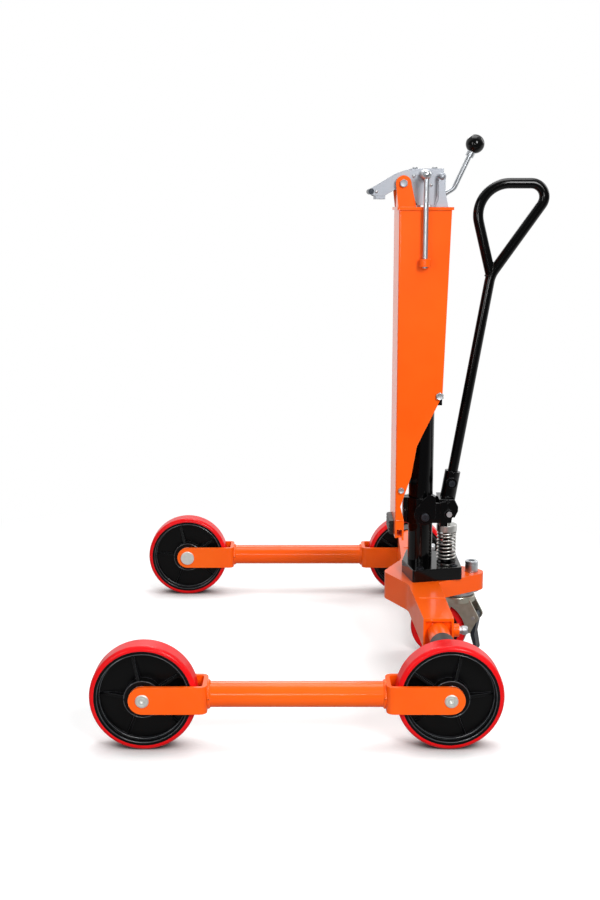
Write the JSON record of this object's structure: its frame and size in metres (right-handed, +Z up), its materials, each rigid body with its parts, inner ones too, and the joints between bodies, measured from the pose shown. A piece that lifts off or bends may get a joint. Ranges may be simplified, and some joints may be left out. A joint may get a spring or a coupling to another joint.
{
  "type": "drum trolley",
  "caption": "Hydraulic drum trolley with a rim jaw, a straddle base on red wheels, a hand pump and a swivel caster",
  "frame": {"origin": "On the floor under the axis of the carried drum, at the drum_station mount", "axes": "+X to the operator and away from the drum, +Y to the operator's right, +Z up"},
  "size_m": [0.9121, 1.06, 1.139],
  "materials": {
    "orange_paint": "gloss",
    "black_paint": "gloss",
    "red_polyurethane": "satin",
    "black_nylon": "satin",
    "black_rubber": "matte",
    "zinc_plate": "satin",
    "bright_steel": "polished",
    "chrome_rod": "polished",
    "spring_steel": "satin",
    "dark_steel": "satin",
    "black_phenolic": "gloss"
  },
  "bodies": {
    "chassis": {"base_frame": "orange_paint", "clamp_screws": "zinc_plate", "tail_bolt": "zinc_plate", "pump_block": "black_paint", "pump_block_bolts": "zinc_plate", "lift_cylinder": "black_paint", "cylinder_gland": "zinc_plate", "lever_collar": "black_paint", "trunnion_caps": "black_paint", "caster_plate": "zinc_plate", "caster_bolts": "zinc_plate", "pump_spring": "spring_steel"},
    "release_valve": {"release_valve": "zinc_plate"},
    "caster": {"caster_fork": "zinc_plate", "caster_axle": "zinc_plate", "pedal_pin": "zinc_plate"},
    "caster_wheel": {"caster_core": "black_nylon", "caster_tyre": "red_polyurethane"},
    "brake": {"brake_pedal": "black_paint"},
    "carriage": {"carriage_shell": "orange_paint", "head_plate": "orange_paint", "ram": "chrome_rod", "upper_guide": "black_nylon", "lower_guide": "black_nylon", "guide_bolts": "zinc_plate", "lower_tie": "zinc_plate", "drum_pad": "black_rubber", "pivot_bolt": "zinc_plate", "stop_pins": "chrome_rod"},
    "jaw": {"jaw_plates": "zinc_plate", "jaw_bridge": "zinc_plate", "jaw_bolts": "zinc_plate", "nose_bar": "dark_steel", "grip_pad": "zinc_plate"},
    "link_rods": {"link_rods": "chrome_rod"},
    "lock_lever": {"lock_lever": "chrome_rod", "knob_nut": "chrome_rod", "ball_knob": "black_phenolic"},
    "pump_lever": {"pump_rocker": "black_paint", "socket_bolt": "zinc_plate", "roller_pin": "zinc_plate", "pump_handle": "black_paint"},
    "pump_piston": {"pump_piston": "bright_steel"},
    "left_leg": {"left_leg": "orange_paint", "left_axles": "zinc_plate", "left_bearings": "bright_steel", "left_spigot_stop": "black_rubber"},
    "left_front_wheel": {"left_front_core": "black_nylon", "left_front_tyre": "red_polyurethane"},
    "left_rear_wheel": {"left_rear_core": "black_nylon", "left_rear_tyre": "red_polyurethane"},
    "right_leg": {"right_leg": "orange_paint", "right_axles": "zinc_plate", "right_bearings": "bright_steel", "right_spigot_stop": "black_rubber"},
    "right_front_wheel": {"right_front_core": "black_nylon", "right_front_tyre": "red_polyurethane"},
    "right_rear_wheel": {"right_rear_core": "black_nylon", "right_rear_tyre": "red_polyurethane"}
  },
  "joints": [
    {"name": "lift", "type": "slide", "parent": "chassis", "child": "carriage", "axis": [0, 0, 1], "range_m": [-0.07, 0.18]},
    {"name": "lock_lever", "type": "hinge", "parent": "carriage", "child": "lock_lever", "pos_m": [0.399, 0.066, 1.01], "axis": [0, 1, 0], "range_deg": [0, 45]},
    {"name": "jaw", "type": "hinge", "parent": "carriage", "child": "jaw", "pos_m": [0.309, 0, 1.035], "axis": [0, 1, 0], "range_deg": [0, 30]},
    {"name": "link_rods", "type": "slide", "parent": "carriage", "child": "link_rods", "axis": [0, 0, 1], "range_m": [-0.025, 0.001]},
    {"name": "pump_lever", "type": "hinge", "parent": "chassis", "child": "pump_lever", "pos_m": [0.366, 0, 0.328], "axis": [0, 1, 0], "range_deg": [0, 25], "stiffness_Nm_per_rad": 20, "springref_deg": -34.38},
    {"name": "pump_piston", "type": "slide", "parent": "chassis", "child": "pump_piston", "axis": [0, 0, 1], "range_m": [-0.0235, 0.0005], "deforming": ["pump_spring"]},
    {"name": "release_valve", "type": "hinge", "parent": "chassis", "child": "release_valve", "pos_m": [0.392, 0.07625, 0.2085], "axis": [0.2298, 0.9732, 0], "range_deg": [0, 180]},
    {"name": "caster_swivel", "type": "hinge", "parent": "chassis", "child": "caster", "pos_m": [0.446, 0, 0.15], "axis": [0, 0, 1], "continuous": true},
    {"name": "caster_spin", "type": "hinge", "parent": "caster", "child": "caster_wheel", "pos_m": [0.4071, 0.01416, 0.0625], "axis": [0.342, 0.9397, 0], "continuous": true},
    {"name": "brake_pedal", "type": "hinge", "parent": "caster", "child": "brake", "pos_m": [0.48415, -0.01389, 0.098], "axis": [0.342, 0.9397, 0], "range_deg": [0, 12]},
    {"name": "left_leg", "type": "slide", "parent": "chassis", "child": "left_leg", "axis": [0, -1, 0], "range_m": [-0.04, 0.04]},
    {"name": "left_front_spin", "type": "hinge", "parent": "left_leg", "child": "left_front_wheel", "pos_m": [-0.193, -0.49, 0.1], "axis": [0, 1, 0], "continuous": true},
    {"name": "left_rear_spin", "type": "hinge", "parent": "left_leg", "child": "left_rear_wheel", "pos_m": [0.373, -0.49, 0.1], "axis": [0, 1, 0], "continuous": true},
    {"name": "right_leg", "type": "slide", "parent": "chassis", "child": "right_leg", "axis": [0, 1, 0], "range_m": [-0.04, 0.04]},
    {"name": "right_front_spin", "type": "hinge", "parent": "right_leg", "child": "right_front_wheel", "pos_m": [-0.193, 0.49, 0.1], "axis": [0, 1, 0], "continuous": true},
    {"name": "right_rear_spin", "type": "hinge", "parent": "right_leg", "child": "right_rear_wheel", "pos_m": [0.373, 0.49, 0.1], "axis": [0, 1, 0], "continuous": true}
  ],
  "couplings": [
    {"joint": "jaw", "follows": "lock_lever", "ratio": 0.66667},
    {"joint": "link_rods", "follows": "lock_lever", "m_per_rad": -0.0306},
    {"joint": "pump_piston", "follows": "pump_lever", "m_per_rad": -0.0525}
  ]
}
